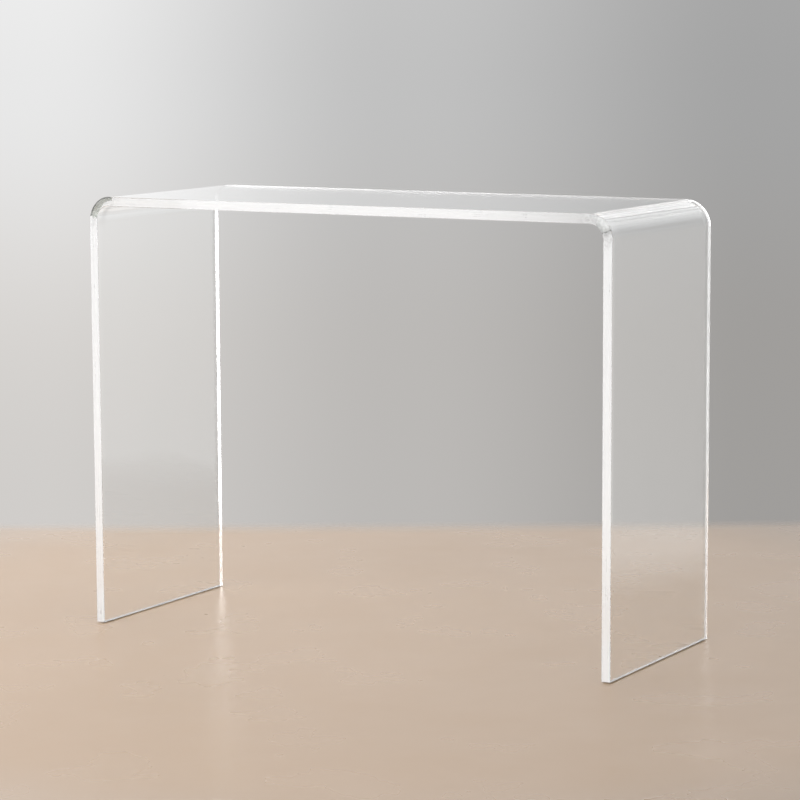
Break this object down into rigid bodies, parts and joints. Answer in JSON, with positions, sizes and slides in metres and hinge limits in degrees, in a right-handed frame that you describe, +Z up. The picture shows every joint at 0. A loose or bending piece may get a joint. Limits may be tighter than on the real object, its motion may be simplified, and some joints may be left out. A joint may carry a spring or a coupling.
{
  "type": "console table",
  "caption": "Clear acrylic console table: a thick sheet heat-bent into an upturned U whose flat top runs through rounded bends into straight panel legs, standing on thin clear pads.",
  "frame": {"origin": "on the floor below the middle of the top, at the level of the pads' undersides", "axes": "+X to the right along the width, +Y from the front edge to the back, +Z up"},
  "size_m": [1.016, 0.3874, 0.762],
  "materials": {
    "clear_acrylic": "clear colourless cast acrylic, gloss faces, satin cut edges that read white",
    "clear_polyurethane": "clear soft polyurethane, satin",
    "adhesive_film": "thin clear pressure-sensitive adhesive"
  },
  "bodies": {
    "root": {"bent_sheet": "clear_acrylic", "foot_pad_front_left": "clear_polyurethane", "foot_pad_front_right": "clear_polyurethane", "foot_pad_rear_left": "clear_polyurethane", "foot_pad_rear_right": "clear_polyurethane", "pad_adhesive_front_left": "adhesive_film", "pad_adhesive_front_right": "adhesive_film", "pad_adhesive_rear_left": "adhesive_film", "pad_adhesive_rear_right": "adhesive_film"}
  },
  "joints": []
}
